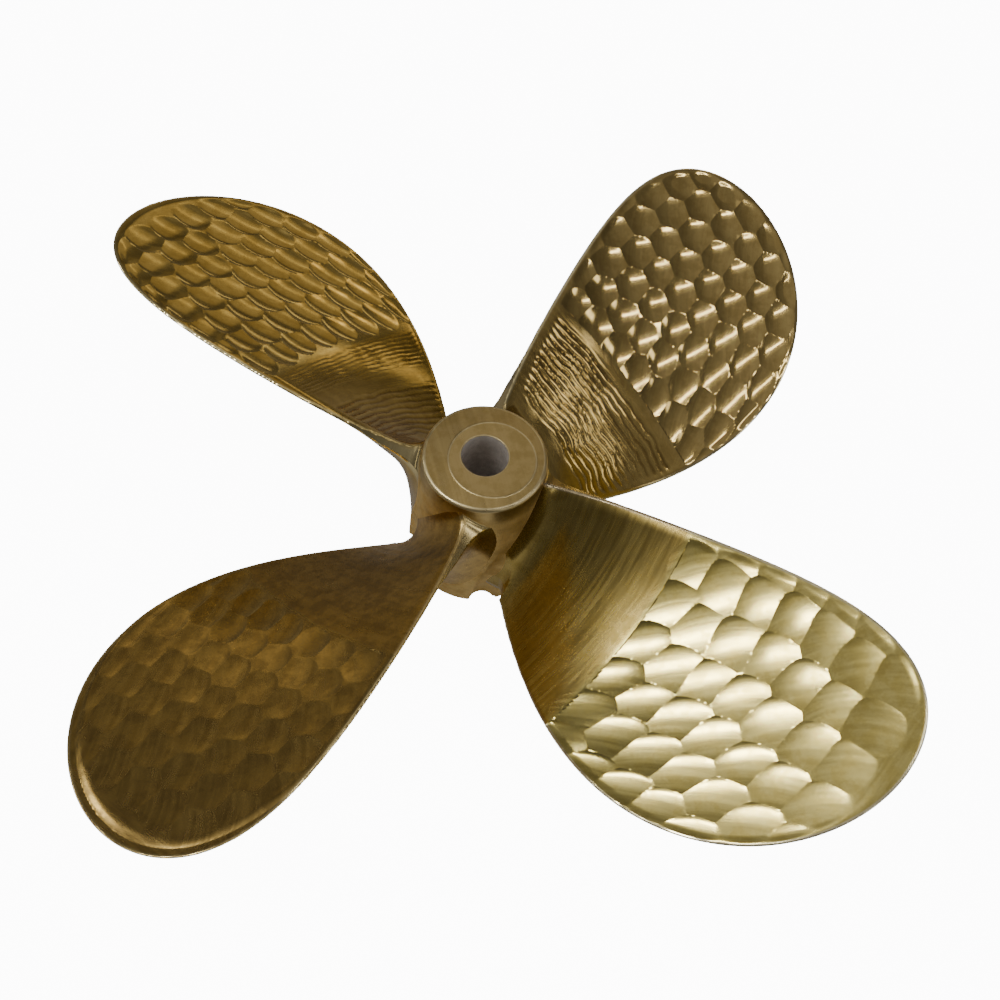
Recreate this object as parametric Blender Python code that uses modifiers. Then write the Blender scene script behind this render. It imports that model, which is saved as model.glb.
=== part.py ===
"""Four-bladed ship propeller: one bronze casting, hub and blades together.

Frame: +Z runs along the shaft from the hub's forward face to its aft face. The origin is the middle of the
forward face, on which the propeller stands. Metres and radians.
"""
import math

import bmesh
import bpy

# Whole propeller
TIP_RADIUS = 0.400
BLADE_COUNT = 4
FIRST_BLADE = math.radians(-40.0)    # turns the gaps between the blades onto the X and Y axes

# Hub, a barrel that narrows towards its aft end
HUB_LENGTH = 0.149
FORWARD_RADIUS = 0.061
BARREL_RADIUS = 0.0592
BARREL_HEIGHT = 0.050                # where that radius is measured
AFT_RADIUS = 0.0515
AFT_ROUNDING = 0.008
FORWARD_CHAMFER = 0.003
AFT_BORE_RADIUS = 0.0194
BORE_TAPER = 1.0 / 12.0              # of the bore's diameter along its length

# Blades: a flat driving face and a rounded back
BLADE_PLANE = 0.076                  # height at which the blades' reference lines leave the axis
ROOT_RADIUS = 0.056
ROOT_CHORD = 0.116
CHORD_GROWTH = 0.244                 # what the chord would gain by the tip if the tip were square
TIP_ROUNDNESS = 3.1
MIDCHORD_CONTROLS = (-0.007, -0.022, -0.047, 0.010)   # curve of the chords' middles, root to tip
ROOT_PITCH = 0.630
TIP_PITCH = 0.750
RAKE = math.radians(9.9)
ROOT_THICKNESS = 0.029
TIP_THICKNESS = 0.004
THICKNESS_FALL = 1.3
THICKEST_ACROSS = -0.15              # where the blade is thickest, from its middle towards its leading edge
ROOT_EDGE = 0.005                    # thickness at the blade's edges
TIP_EDGE = 0.003

# Fillets from the blades into the hub
FACE_FILLET = 0.020
BACK_FILLET = 0.026
EDGE_FILLET = 0.007
FILLET_HEIGHT = 0.024
SEATED_DEPTH = 0.014                 # how far a blade's root reaches into the hub
FILLET_REACH = 0.060                 # the blade follows the barrel's curve up to this height above it

# Groove ground along the face side of each root and out through the hub's forward face. Each point has its turn
# from the blade's reference line in degrees, its height above the blade plane, its distance from the shaft axis
# and the groove's own radius there.
GROOVE_ROUTE = (
    (-44.0, -0.090, 0.063, 0.012),
    (-41.0, -0.066, 0.063, 0.012),
    (-38.0, -0.035, 0.067, 0.012),
    (-29.0, 0.000, 0.071, 0.014),
    (-17.0, 0.030, 0.078, 0.017),
)
GROOVE_SIDES = 4                     # curve resolution of the groove's round section

# Fineness of the mesh
HUB_SEGMENTS = 72
BARREL_ROWS = 8
ROUNDING_ROWS = 3
BLADE_ROWS = 14
FILLET_ROWS = 4
CHORD_COLUMNS = 8
MERGE_DISTANCE = 0.00001

FULL_TURN = 2.0 * math.pi
QUARTER_TURN = math.pi / 2.0


def mix(start, end, share):
    return start + (end - start) * share


def barrel_radius(height):
    """Radius of the hub's side: the parabola through its two ends and the place between them."""
    low, middle, high = 0.0, BARREL_HEIGHT, HUB_LENGTH
    at_low = FORWARD_RADIUS * (height - middle) * (height - high) / ((low - middle) * (low - high))
    at_middle = BARREL_RADIUS * (height - low) * (height - high) / ((middle - low) * (middle - high))
    at_high = AFT_RADIUS * (height - low) * (height - middle) / ((high - low) * (high - middle))
    return at_low + at_middle + at_high


def hub_outline():
    """The hub's section in the XZ plane, from the bore's aft rim, down the outside and up the bore."""
    outline = [(AFT_BORE_RADIUS, HUB_LENGTH)]
    shoulder = HUB_LENGTH - AFT_ROUNDING
    centre = barrel_radius(shoulder) - AFT_ROUNDING
    for row in range(ROUNDING_ROWS + 1):
        turn = QUARTER_TURN * row / ROUNDING_ROWS
        outline.append((centre + AFT_ROUNDING * math.sin(turn), shoulder + AFT_ROUNDING * math.cos(turn)))
    for row in range(1, BARREL_ROWS + 1):
        height = mix(shoulder, FORWARD_CHAMFER, row / BARREL_ROWS)
        outline.append((barrel_radius(height), height))
    outline.append((barrel_radius(FORWARD_CHAMFER) - FORWARD_CHAMFER, 0.0))
    outline.append((AFT_BORE_RADIUS + HUB_LENGTH * BORE_TAPER / 2.0, 0.0))
    return outline


def chord(reach):
    """Blade width at a share of the way from root to tip."""
    return (ROOT_CHORD + CHORD_GROWTH * reach) * math.sqrt(max(0.0, 1.0 - reach ** TIP_ROUNDNESS))


def midchord(reach):
    """Where the middle of the chord lies, along the blade's helix from its reference line."""
    first, second, third, last = MIDCHORD_CONTROLS
    left = 1.0 - reach
    return (first * left ** 3 + 3.0 * second * reach * left ** 2
            + 3.0 * third * reach ** 2 * left + last * reach ** 3)


def thickness(reach):
    return mix(TIP_THICKNESS, ROOT_THICKNESS, (1.0 - reach) ** THICKNESS_FALL)


def back_offset(reach, across):
    """How far the back lies behind the flat face: rounded towards the leading edge, tapered to the trailing."""
    thickest = thickness(reach)
    edge = min(mix(ROOT_EDGE, TIP_EDGE, reach), thickest)
    if across > THICKEST_ACROSS:
        share = ((across - THICKEST_ACROSS) / (1.0 - THICKEST_ACROSS)) ** 1.6
    else:
        share = ((THICKEST_ACROSS - across) / (1.0 + THICKEST_ACROSS)) ** 2.4
    return mix(thickest, edge, share)


def fillet_spread(height):
    """How far a round fillet, 1 in radius, stands out from the blade at a height above the hub."""
    return 1.0 - math.sqrt(1.0 - (1.0 - height) ** 2)


def blade_rings():
    """Radius from the axis and fillet spread of each section of the blade, from inside the hub to the tip."""
    lowest = 1.0 - math.cos(QUARTER_TURN / (FILLET_ROWS + 1))
    rings = [(ROOT_RADIUS - SEATED_DEPTH, 1.0), (ROOT_RADIUS - lowest * FILLET_HEIGHT, 1.0)]
    for row in range(1, FILLET_ROWS + 1):
        height = 1.0 - math.cos(QUARTER_TURN * row / (FILLET_ROWS + 1))
        rings.append((ROOT_RADIUS + height * FILLET_HEIGHT, fillet_spread(height)))
    start = ROOT_RADIUS + FILLET_HEIGHT
    for row in range(BLADE_ROWS + 1):
        rings.append((mix(start, TIP_RADIUS, math.sin(QUARTER_TURN * row / BLADE_ROWS)), 0.0))
    return rings


def blade_point(radius, spread, across, back):
    """A point of the blade: across runs from -1, the leading edge, to 1, the trailing edge."""
    reach = max(0.0, (radius - ROOT_RADIUS) / (TIP_RADIUS - ROOT_RADIUS))
    pitch_angle = math.atan2(mix(ROOT_PITCH, TIP_PITCH, reach), FULL_TURN * radius)
    along = midchord(reach) + across * (chord(reach) / 2.0 + EDGE_FILLET * spread)
    flare = spread * (1.0 - 0.5 * across ** 4)
    behind = -FACE_FILLET * flare
    if back:
        behind = back_offset(reach, across) + BACK_FILLET * flare
    height = (BLADE_PLANE + math.tan(RAKE) * radius
              + along * math.sin(pitch_angle) - behind * math.cos(pitch_angle))
    arc = along * math.cos(pitch_angle) + behind * math.sin(pitch_angle)
    turn = arc / radius
    above_hub = min(1.0, max(0.0, (radius - ROOT_RADIUS) / FILLET_REACH))
    radius += (barrel_radius(height) - ROOT_RADIUS) * (1.0 - above_hub)
    return (radius * math.cos(turn), radius * math.sin(turn), height)


def new_object(name, mesh, collection, material):
    made = bpy.data.objects.new(name, mesh)
    made.data.materials.append(material)
    collection.objects.link(made)
    return made


def make_collection(name):
    collection = bpy.data.collections.new(name)
    bpy.context.scene.collection.children.link(collection)
    return collection


def make_bronze():
    bronze = bpy.data.materials.new("cast_bronze")
    bronze.use_nodes = True
    shader = bronze.node_tree.nodes["Principled BSDF"]
    shader.inputs["Base Color"].default_value = (0.46, 0.33, 0.13, 1.0)
    shader.inputs["Roughness"].default_value = 0.35
    shader.inputs["Metallic"].default_value = 1.0
    return bronze


def make_hub(collection, material):
    """The hub as a closed section turned about the shaft axis."""
    outline = hub_outline()
    points = [(radius, 0.0, height) for radius, height in outline]
    edges = [(index, (index + 1) % len(points)) for index in range(len(points))]
    mesh = bpy.data.meshes.new("hub_section")
    mesh.from_pydata(points, edges, [])
    hub = new_object("propeller_casting", mesh, collection, material)
    turning = hub.modifiers.new("turned", "SCREW")
    turning.axis = "Z"
    turning.angle = FULL_TURN
    turning.steps = HUB_SEGMENTS
    turning.render_steps = HUB_SEGMENTS
    turning.use_merge_vertices = True
    turning.merge_threshold = MERGE_DISTANCE
    return hub


def make_blade_mesh():
    """One blade lofted through its sections, closed at the root and drawn together at the tip."""
    columns = [math.sin(QUARTER_TURN * (2.0 * column / CHORD_COLUMNS - 1.0))
               for column in range(CHORD_COLUMNS + 1)]
    loop = [(across, False) for across in columns] + [(across, True) for across in reversed(columns)]
    shape = bmesh.new()
    rings = []
    for radius, spread in blade_rings():
        rings.append([shape.verts.new(blade_point(radius, spread, across, back)) for across, back in loop])
    for lower, upper in zip(rings, rings[1:]):
        for index in range(len(loop)):
            following = (index + 1) % len(loop)
            shape.faces.new((lower[index], lower[following], upper[following], upper[index]))
    shape.faces.new(rings[0])
    shape.faces.new(rings[-1])
    bmesh.ops.remove_doubles(shape, verts=shape.verts, dist=MERGE_DISTANCE)
    bmesh.ops.triangulate(shape, faces=shape.faces)
    bmesh.ops.recalc_face_normals(shape, faces=shape.faces)
    mesh = bpy.data.meshes.new("blade")
    shape.to_mesh(mesh)
    shape.free()
    return mesh


def make_groove_mesh():
    """The round tool's path beside one root, as a closed mesh."""
    path = bpy.data.curves.new("groove_path", "CURVE")
    path.dimensions = "3D"
    path.bevel_depth = 1.0
    path.bevel_resolution = GROOVE_SIDES
    path.use_fill_caps = True
    route = path.splines.new("POLY")
    route.points.add(len(GROOVE_ROUTE) - 1)
    for point, (turn, height, distance, groove_radius) in zip(route.points, GROOVE_ROUTE):
        turn = math.radians(turn)
        point.co = (distance * math.cos(turn), distance * math.sin(turn), BLADE_PLANE + height, 1.0)
        point.radius = groove_radius
    guide = bpy.data.objects.new("groove_guide", path)
    bpy.context.scene.collection.objects.link(guide)
    drawn = guide.evaluated_get(bpy.context.evaluated_depsgraph_get())
    mesh = bpy.data.meshes.new_from_object(drawn)
    bpy.data.objects.remove(guide, do_unlink=True)
    shape = bmesh.new()
    shape.from_mesh(mesh)
    bmesh.ops.remove_doubles(shape, verts=shape.verts, dist=MERGE_DISTANCE)
    bmesh.ops.recalc_face_normals(shape, faces=shape.faces)
    shape.to_mesh(mesh)
    shape.free()
    return mesh


def combine(hub, mesh, name, operation, collection, material):
    """Fuses a copy of the mesh with the hub, or cuts it out, at each blade's place."""
    for index in range(BLADE_COUNT):
        other = new_object(f"{name}_{index + 1}", mesh.copy(), collection, material)
        other.rotation_euler.z = FIRST_BLADE + FULL_TURN * index / BLADE_COUNT
        other.hide_render = True
        other.display_type = "WIRE"
        step = hub.modifiers.new(other.name, "BOOLEAN")
        step.operation = operation
        step.solver = "EXACT"
        step.object = other


def main():
    for old in list(bpy.data.objects):
        bpy.data.objects.remove(old, do_unlink=True)
    bronze = make_bronze()
    hub = make_hub(make_collection("ship_propeller"), bronze)
    cutters = make_collection("cutters")
    combine(hub, make_blade_mesh(), "blade", "UNION", cutters, bronze)
    combine(hub, make_groove_mesh(), "groove", "DIFFERENCE", cutters, bronze)


main()
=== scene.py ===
"""Looks of the four-bladed bronze ship propeller: hand-ground blades, hub, floor, lights and camera.

Frame: +Z runs along the shaft from the hub's forward face, on which the propeller stands, to its aft face.
Metres and radians. On a blade, along runs on its helix from the leading to the trailing edge, radius runs
from the shaft axis to the tip, and behind runs from the flat driving face towards the back.
"""
import math
from collections import namedtuple

import bmesh
import bpy
import numpy as np
from mathutils import Matrix, Vector
from mathutils.kdtree import KDTree


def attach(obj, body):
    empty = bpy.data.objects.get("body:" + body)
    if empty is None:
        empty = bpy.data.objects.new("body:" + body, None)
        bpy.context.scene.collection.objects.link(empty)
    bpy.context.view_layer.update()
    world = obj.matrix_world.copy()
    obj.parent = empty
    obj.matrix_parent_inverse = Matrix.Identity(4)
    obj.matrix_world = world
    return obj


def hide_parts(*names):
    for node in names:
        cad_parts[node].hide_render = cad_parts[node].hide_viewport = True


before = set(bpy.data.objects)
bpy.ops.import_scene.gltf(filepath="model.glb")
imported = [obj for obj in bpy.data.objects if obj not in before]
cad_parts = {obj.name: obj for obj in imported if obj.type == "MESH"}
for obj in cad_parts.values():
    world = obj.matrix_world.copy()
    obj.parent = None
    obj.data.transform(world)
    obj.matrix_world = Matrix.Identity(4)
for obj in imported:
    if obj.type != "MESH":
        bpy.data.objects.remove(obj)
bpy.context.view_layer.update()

FULL_TURN = 2.0 * math.pi
QUARTER_TURN = math.pi / 2.0
MM = 0.001

# The casting's driving sizes, as its solid has them
TIP_RADIUS = 0.400
BLADE_COUNT = 4
FIRST_BLADE = math.radians(-40.0)
HUB_LENGTH = 0.149
FORWARD_RADIUS = 0.061
BARREL_RADIUS = 0.0592
BARREL_HEIGHT = 0.050
AFT_RADIUS = 0.0515
FORWARD_CHAMFER = 0.003
AFT_BORE_RADIUS = 0.0194
BORE_TAPER = 1.0 / 12.0
BLADE_PLANE = 0.076
ROOT_RADIUS = 0.056
ROOT_CHORD = 0.116
CHORD_GROWTH = 0.244
TIP_ROUNDNESS = 3.1
MIDCHORD_CONTROLS = (-0.007, -0.022, -0.047, 0.010)
ROOT_PITCH = 0.630
TIP_PITCH = 0.750
RAKE = math.radians(9.9)
ROOT_THICKNESS = 0.029
TIP_THICKNESS = 0.004
THICKNESS_FALL = 1.3
THICKEST_ACROSS = -0.15
TRAILING_POWER = 1.6  # how the back falls from its thickest line to each edge
LEADING_POWER = 2.4
ROOT_EDGE = 0.005
TIP_EDGE = 0.003
FACE_FILLET = 0.020
BACK_FILLET = 0.026
EDGE_FILLET = 0.007
FILLET_HEIGHT = 0.024
SEATED_DEPTH = 0.014
FILLET_REACH = 0.060
FLARE_LOSS = 0.5  # share by which the root's fillets stand out less at a blade's edges
FLARE_POWER = 4

# Groove ground along the face side of each root: turn from the blade's reference line in degrees, height
# above the blade plane, distance from the shaft axis and the groove's own radius
GROOVE_ROUTE = (
    (-44.0, -0.090, 0.063, 0.012),
    (-41.0, -0.066, 0.063, 0.012),
    (-38.0, -0.035, 0.067, 0.012),
    (-29.0, 0.000, 0.071, 0.014),
    (-17.0, 0.030, 0.078, 0.017),
)
GROOVE_STEPS = 16  # places of the round tool from one point of the route to the next
GROOVE_TOP = 0.108  # radius beyond which no groove reaches
GROOVE_ROUNDS = 16  # times that the blade's points are moved out of the grooves
GROOVE_CLEARANCE = 0.0001  # how much deeper the hub is cut, under the blades' roots

# Fineness of the blades' meshes
FILLET_ROWS = 18
RIPPLED_ROWS = 140
RIPPLED_TOP = 0.184  # radius up to which the rows lie closer together
BLADE_ROWS = 172
TIP_ROWS = 22
TIP_ZONE = 0.010  # length below the tip where the rows close up
FACE_COLUMNS = 216
BACK_COLUMNS = 26
STRIP_COLUMNS = 3  # between the face's corner and the back's corner of an edge
CORNER_TURNS = (90.0, 62.0, 38.0, 18.0)  # degrees round an edge's corner where columns lie
OUTLINE_POINTS = 700  # on each side of the outline that distances are measured from
MERGE_DISTANCE = 0.000002
BLADE_CREASE = 6.5  # degrees between two faces above which their edge is sharp
HUB_CREASE = 28.0

# The blades' edges
OUTLINE_INSET = 0.0004  # keeps the fine outline inside the plainer solid's box
ROOT_CORNER = 0.0018  # radius of the corners along an edge
TIP_CORNER = 0.0013
CORNER_SHARE = 0.45  # of half the blade's width, the most that a corner takes up
LEAST_CORNER = 0.0000001
BEVEL_START = math.tan(math.radians(3.0))  # slope where the band round a blade begins
SIDE_SLOPE = math.tan(math.radians(7.0))  # and how much it gains, on average, by a side edge
BEVEL_BLEND = 0.00025  # how softly the hollows run into that band, as a depth
TRAILING_BAND = (0.0095, 0.0060)  # width of the band beside the hub and further out
LEADING_BAND = (0.0035, 0.0060)
TRAILING_CHANGE = (0.35, 0.70)  # reaches between which a width goes over to the next
LEADING_CHANGE = (0.20, 0.60)
TIP_CHANGE = (0.66, 0.90)
SIDE_CHANGE = (-0.5, 0.5)  # where the leading band goes over to the trailing one, across the blade
BLUNT_ROOT = 0.006  # added thickness of the trailing edge beside the hub
BLUNT_END = (0.070, 0.128)  # radii between which it dies out
BLUNT_SIDE = (0.2, 1.0)  # and where it grows, across the blade


def mix(start, end, share):
    return start + (end - start) * share


def ramp(value, start, end):
    """A smooth step from 0 at start to 1 at end."""
    share = np.clip((value - start) / (end - start), 0.0, 1.0)
    return share * share * (3.0 - 2.0 * share)


def together(*parts):
    """The given values as vectors, one part after another."""
    return np.stack(np.broadcast_arrays(*parts), axis=-1)


def softly_deeper(first, second, blend):
    """The greater of two depths, with a rounded fold where they are nearly the same."""
    return (first + second + np.sqrt((first - second) ** 2 + blend ** 2) - blend) / 2.0


# The casting's shape

def barrel_radius(height):
    """Radius of the hub's side: the parabola through its two ends and the place between them."""
    low, middle, high = 0.0, BARREL_HEIGHT, HUB_LENGTH
    at_low = FORWARD_RADIUS * (height - middle) * (height - high) / ((low - middle) * (low - high))
    at_middle = BARREL_RADIUS * (height - low) * (height - high) / ((middle - low) * (middle - high))
    at_high = AFT_RADIUS * (height - low) * (height - middle) / ((high - low) * (high - middle))
    return at_low + at_middle + at_high


def reach_of(radius):
    return np.maximum(0.0, (radius - ROOT_RADIUS) / (TIP_RADIUS - ROOT_RADIUS))


def chord(reach):
    return (ROOT_CHORD + CHORD_GROWTH * reach) * np.sqrt(np.maximum(0.0, 1.0 - reach ** TIP_ROUNDNESS))


def midchord(reach):
    first, second, third, last = MIDCHORD_CONTROLS
    left = 1.0 - reach
    return (first * left ** 3 + 3.0 * second * reach * left ** 2
            + 3.0 * third * reach ** 2 * left + last * reach ** 3)


def back_offset(reach, across):
    """How far the back lies behind the flat face."""
    thickest = mix(TIP_THICKNESS, ROOT_THICKNESS, np.maximum(0.0, 1.0 - reach) ** THICKNESS_FALL)
    edge = np.minimum(mix(ROOT_EDGE, TIP_EDGE, reach), thickest)
    behind_thickest = np.maximum(0.0, across - THICKEST_ACROSS) / (1.0 - THICKEST_ACROSS)
    before_thickest = np.maximum(0.0, THICKEST_ACROSS - across) / (1.0 + THICKEST_ACROSS)
    return mix(thickest, edge, behind_thickest ** TRAILING_POWER + before_thickest ** LEADING_POWER)


def fillet_spread(height):
    """How far the root's fillet stands out at a share of its height: a quarter circle."""
    return 1.0 - np.sqrt(1.0 - (1.0 - height) ** 2)


def blade_rows():
    """Radius and fillet spread of each row of a blade's mesh, from inside the hub to the tip."""
    lowest = 1.0 - math.cos(QUARTER_TURN / (FILLET_ROWS + 1))
    rows = [(ROOT_RADIUS - SEATED_DEPTH, 1.0), (ROOT_RADIUS - lowest * FILLET_HEIGHT, 1.0)]
    for row in range(1, FILLET_ROWS + 1):
        height = 1.0 - math.cos(QUARTER_TURN * row / (FILLET_ROWS + 1))
        rows.append((ROOT_RADIUS + height * FILLET_HEIGHT, fillet_spread(height)))
    start, end = ROOT_RADIUS + FILLET_HEIGHT, TIP_RADIUS - TIP_ZONE
    rows += [(mix(start, RIPPLED_TOP, row / RIPPLED_ROWS), 0.0) for row in range(RIPPLED_ROWS)]
    rows += [(mix(RIPPLED_TOP, end, row / BLADE_ROWS), 0.0) for row in range(BLADE_ROWS)]
    for row in range(TIP_ROWS + 1):
        rows.append((end + (TIP_ZONE - OUTLINE_INSET) * math.sin(QUARTER_TURN * row / TIP_ROWS), 0.0))
    radius, spread = np.array(rows).T
    return radius[:, None], spread[:, None]


def half_width(radius, spread):
    """Half the blade's width at a radius, a little inside the solid's."""
    stretched = TIP_RADIUS / (TIP_RADIUS - OUTLINE_INSET)
    reach = np.minimum(1.0, reach_of(radius * stretched))
    return np.maximum(0.0, chord(reach) / 2.0 + EDGE_FILLET * spread - OUTLINE_INSET * (reach < 1.0))


def blade_places(radius, along, behind):
    """Points in space for points of a blade, given where they lie on its helix."""
    reach = reach_of(radius)
    pitch_angle = np.arctan2(mix(ROOT_PITCH, TIP_PITCH, reach), FULL_TURN * radius)
    height = (BLADE_PLANE + math.tan(RAKE) * radius
              + along * np.sin(pitch_angle) - behind * np.cos(pitch_angle))
    turn = (along * np.cos(pitch_angle) + behind * np.sin(pitch_angle)) / radius
    above_hub = np.clip((radius - ROOT_RADIUS) / FILLET_REACH, 0.0, 1.0)
    distance = radius + (barrel_radius(height) - ROOT_RADIUS) * (1.0 - above_hub)
    return together(distance * np.cos(turn), distance * np.sin(turn), height)


def groove_balls():
    """Centre and radius of the round tool at each place along a groove."""
    corners = []
    for turn, height, distance, size in GROOVE_ROUTE:
        turn = math.radians(turn)
        corners.append((distance * math.cos(turn), distance * math.sin(turn), BLADE_PLANE + height, size))
    corners = np.array(corners)
    shares = np.linspace(0.0, 1.0, GROOVE_STEPS, endpoint=False)[:, None]
    parts = [mix(first, second, shares) for first, second in zip(corners[:-1], corners[1:])]
    return np.concatenate(parts + [corners[-1:]])


def turned_balls(turn):
    """The balls of the groove whose blade is turned by an angle."""
    balls = groove_balls()
    x = balls[:, 0] * math.cos(turn) - balls[:, 1] * math.sin(turn)
    y = balls[:, 0] * math.sin(turn) + balls[:, 1] * math.cos(turn)
    return together(x, y, balls[:, 2], balls[:, 3])


def depth_in_grooves(points):
    """How deep points beside a blade's root lie inside the grooves."""
    deepest = np.zeros(points.shape[:-1])
    for index in range(BLADE_COUNT):
        for x, y, z, size in turned_balls(FULL_TURN * index / BLADE_COUNT):
            away = (points[..., 0] - x) ** 2 + (points[..., 1] - y) ** 2 + (points[..., 2] - z) ** 2
            near = away < size ** 2
            if near.any():
                deepest[near] = np.maximum(deepest[near], size - np.sqrt(away[near]))
    return deepest


def clear_grooves(radius, along, behind, way):
    """Moves one side of a blade out of the grooves: way is 1 towards the back and -1 towards the face."""
    low = radius[:, 0] < GROOVE_TOP
    moved = behind.copy()
    for _ in range(GROOVE_ROUNDS):
        depth = depth_in_grooves(blade_places(radius[low], along[low], moved[low]))
        moved[low] += way * depth
    return moved


# The finish that each blade was given by hand

Finish = namedtuple("Finish", "name seed first_row start row_pitch shifts column_pitch dish_radius stretch "
                              "depth lean cup wall_power tip_share deep_side ripples tip_bevel tip_slope "
                              "look")
Look = namedtuple("Look", "tone deep_tone worn_tone root_tint roughness root_roughness patchiness "
                          "scale fineness length scratch_depth", defaults=(75.0, 700.0, 45.0, 0.000007))

RIDGE_LEVEL = 0.40  # the part of a hollow's depth that lies above the blade's own surface
ROW_BOW = 0.95  # how the rows of hollows curve up towards the edges, in 1/m
BOW_MIDDLE = 0.030
GRINDER_REACH = 0.060  # radius of the arcs that the grinding disc left in a hollow
DISH_COLUMNS = range(-7, 6)  # enough to cross the blade at its widest
HAND_ALONG = 0.0012  # how unevenly the grinder was set down, as standard deviations
HAND_RADIUS = 0.0008
HAND_TURN = 6.0  # in degrees
SIZE_RANGE = (0.95, 1.06)  # of single hollows, as shares of the usual size and depth
DEPTH_RANGE = (0.88, 1.08)
TIP_HOLLOWS = (0.6, 1.0)  # reaches between which the depth goes over to its share at the tip
HAIR = 0.00001  # a length too small to see
SLOPE_STEP = 0.00005  # length over which a slope is measured
SNAP_ROUNDS = 3
SNAP_REACH = 0.50  # how far a point may move onto a ridge, in spacings of the mesh
LEAST_DIVISOR = 0.000001
WANDER = 0.55  # how far the furrows wander and shake, in spacings, and over what lengths
WANDER_LENGTH = 0.050
SHAKE = 0.20
SHAKE_LENGTH = 0.016
STRENGTHS = (0.60, 1.3)  # least and greatest share of a furrow's usual depth
MEAN_STRENGTH = 0.95
STRENGTH_CHANGE = 0.6
STRENGTH_LENGTH = 0.045
CREST_POWER = 1.5
FURROW_START = 0.010  # lengths along the radius where the furrows begin and end
FURROW_END = 0.008
WAVE_COUNT = 7
WAVE_RANGE = (0.7, 1.5)  # lengths of single waves, as shares of the usual one

# How the finishes of a driving face run into each other
FURROW_INNER = 0.0045  # strip on each side of the band's inner line where the furrows fade
FURROW_OUTER = 0.0025
FURROW_RIM = (0.002, 0.011)  # and the distances from the outline between which they fade too
DISH_FADE = 0.003  # half the strip where the hollows fade
STILL_BAND = 0.002  # strips where no point is moved onto a ridge
STILL_START = 0.0015
UNEVEN_FACE = 0.00010  # heights and lengths of the slight waves on each side
UNEVEN_BACK = 0.00012
FACE_WAVES = 0.070
BACK_WAVES = 0.060
UNEVEN_RIM = 0.010
DEEPEST = 0.42  # the most that is ground away, as a share of the blade's thickness
WORN_FACE_RIM = (0.0012, 0.0030)  # distances from the outline where the metal goes from worn to tarnished
WORN_BACK_RIM = (0.003, 0.006)
ROOT_BLEND = (-0.005, 0.001)  # where the root zone ends, from the start of the hollows; its tint paints shade beside the hub and its metal is rougher
DARK_FURROW = (0.0001, 0.0004)  # depths between which a furrow darkens

# The rows of hollows run from the root to the tip, and none reaches below start. A row's shift is in
# millimetres along the blade, and the deep side and the slope are in degrees. Each set of ripples is the
# radius where it begins and ends, the spacing of its furrows and their depth.
# Painted light and shade: each blade's tones are set lighter or darker than the others' with how brightly
# that blade is lit, lightest on lower_right; over this lies the bronze's own patchy tarnish and wear.
FINISHES = (
    Finish(name="lower_right", seed=11, first_row=0.194, start=0.176, row_pitch=0.0285,
           shifts=(-26, -30, -24, -18, -22, -22, -18), column_pitch=0.0370, dish_radius=0.0270,
           stretch=1.20, depth=0.0024, lean=0.68, cup=0.95, wall_power=8, tip_share=0.55, deep_side=-42.0,
           ripples=(), tip_bevel=0.0060, tip_slope=4.0,
           look=Look(tone=(0.82, 0.68, 0.23), deep_tone=(0.62, 0.49, 0.14), worn_tone=(0.90, 0.80, 0.52),
                     root_tint=(0.60, 0.54, 0.50), roughness=0.17, root_roughness=0.26, patchiness=0.75)),
    Finish(name="upper_right", seed=23, first_row=0.190, start=0.178, row_pitch=0.0276,
           shifts=(3, 22, 6, 22, 9, 23, 8, 28), column_pitch=0.0290, dish_radius=0.0220,
           stretch=1.0, depth=0.0028, lean=0.15, cup=1.0, wall_power=12, tip_share=1.35, deep_side=-38.0,
           ripples=((0.084, 0.172, 0.0061, 0.00044),), tip_bevel=0.0085, tip_slope=7.0,
           look=Look(tone=(0.64, 0.47, 0.18), deep_tone=(0.50, 0.35, 0.12), worn_tone=(0.80, 0.68, 0.40),
                     root_tint=(1.0, 0.98, 0.90), roughness=0.10, root_roughness=0.18, patchiness=0.55)),
    Finish(name="upper_left", seed=37, first_row=0.210, start=0.190, row_pitch=0.0265,
           shifts=(8, 2, -4, -11, 7, -1, -16), column_pitch=0.0280, dish_radius=0.0215,
           stretch=1.0, depth=0.0024, lean=0.62, cup=1.0, wall_power=6, tip_share=0.9, deep_side=-30.0,
           ripples=((0.150, 0.190, 0.0040, 0.00026), (0.076, 0.140, 0.0060, 0.00050)),
           tip_bevel=0.0085, tip_slope=7.0,
           look=Look(tone=(0.68, 0.48, 0.14), deep_tone=(0.50, 0.33, 0.08), worn_tone=(0.84, 0.70, 0.36),
                     root_tint=(0.95, 0.88, 0.72), roughness=0.15, root_roughness=0.17, patchiness=0.60)),
    Finish(name="lower_left", seed=53, first_row=0.203, start=0.185, row_pitch=0.0270,
           shifts=(0, 14, 0, 14, 0, 14, 0), column_pitch=0.0290, dish_radius=0.0215,
           stretch=1.0, depth=0.0011, lean=0.60, cup=0.90, wall_power=4, tip_share=0.6, deep_side=-38.0,
           ripples=(), tip_bevel=0.0145, tip_slope=15.0,
           look=Look(tone=(0.64, 0.43, 0.13), deep_tone=(0.38, 0.25, 0.08), worn_tone=(0.80, 0.62, 0.28),
                     root_tint=(0.85, 0.80, 0.72), roughness=0.24, root_roughness=0.36, patchiness=0.60)),
)


def bowed(along, radius):
    """The radius, evened out along the curved rows."""
    return radius - ROW_BOW * (along - BOW_MIDDLE) ** 2


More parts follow.
